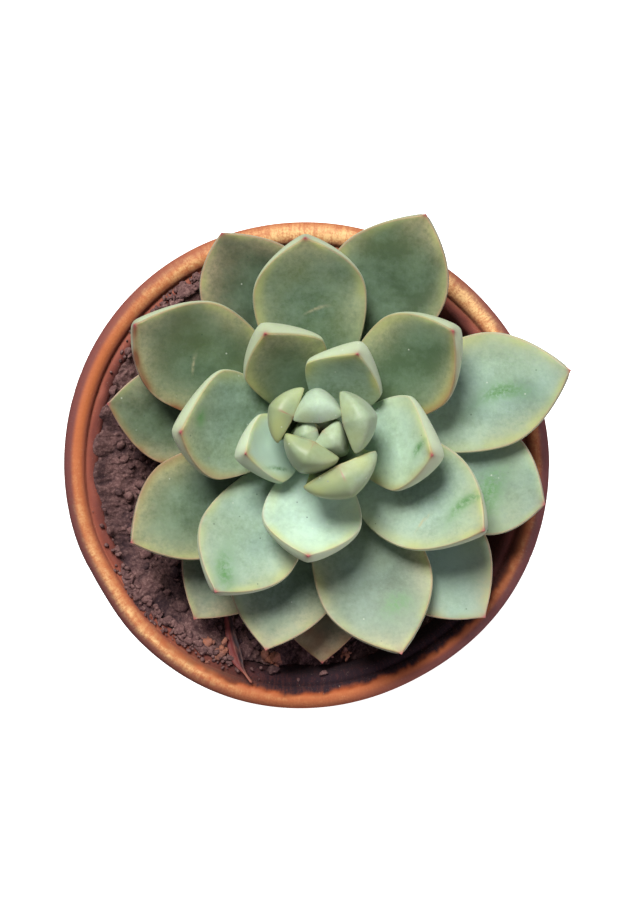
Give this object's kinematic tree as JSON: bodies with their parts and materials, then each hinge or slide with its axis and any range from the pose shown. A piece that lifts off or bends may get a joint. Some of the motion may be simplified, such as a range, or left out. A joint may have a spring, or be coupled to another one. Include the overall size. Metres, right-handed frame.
{
  "type": "potted succulent",
  "caption": "Open rosette of thick, pointed leaves round a closed bud on a short stem, standing in soil in a round tapered terracotta pot with a rolled rim.",
  "frame": {"origin": "Middle of the pot's underside, on the surface that the pot stands on, within 1 mm of the middle of the bounding box's bottom.", "axes": "+Z up out of the pot. Seen from straight above with +X to the right and +Y up, the plant lies as in the picture."},
  "size_m": [0.1208, 0.12, 0.1281],
  "materials": {
    "terracotta": "satin",
    "soil": "matte",
    "stem": "matte",
    "leaf": "matte",
    "bud": "matte",
    "dry_leaf": "matte"
  },
  "bodies": {
    "root": {"pot": "terracotta", "soil": "soil", "stem": "stem", "leaf_01": "leaf", "leaf_02": "leaf", "leaf_03": "leaf", "leaf_04": "leaf", "leaf_05": "leaf", "leaf_06": "leaf", "leaf_07": "leaf", "leaf_08": "leaf", "leaf_09": "leaf", "leaf_10": "leaf", "leaf_11": "leaf", "leaf_12": "leaf", "leaf_13": "leaf", "leaf_14": "leaf", "leaf_15": "leaf", "leaf_16": "leaf", "leaf_17": "leaf", "leaf_18": "leaf", "leaf_19": "leaf", "leaf_20": "leaf", "leaf_21": "leaf", "leaf_22": "leaf", "leaf_23": "leaf", "leaf_24": "leaf", "leaf_25": "leaf", "leaf_26": "leaf", "leaf_27": "leaf", "leaf_28": "leaf", "bud": "bud", "dry_leaf": "dry_leaf"}
  },
  "joints": []
}
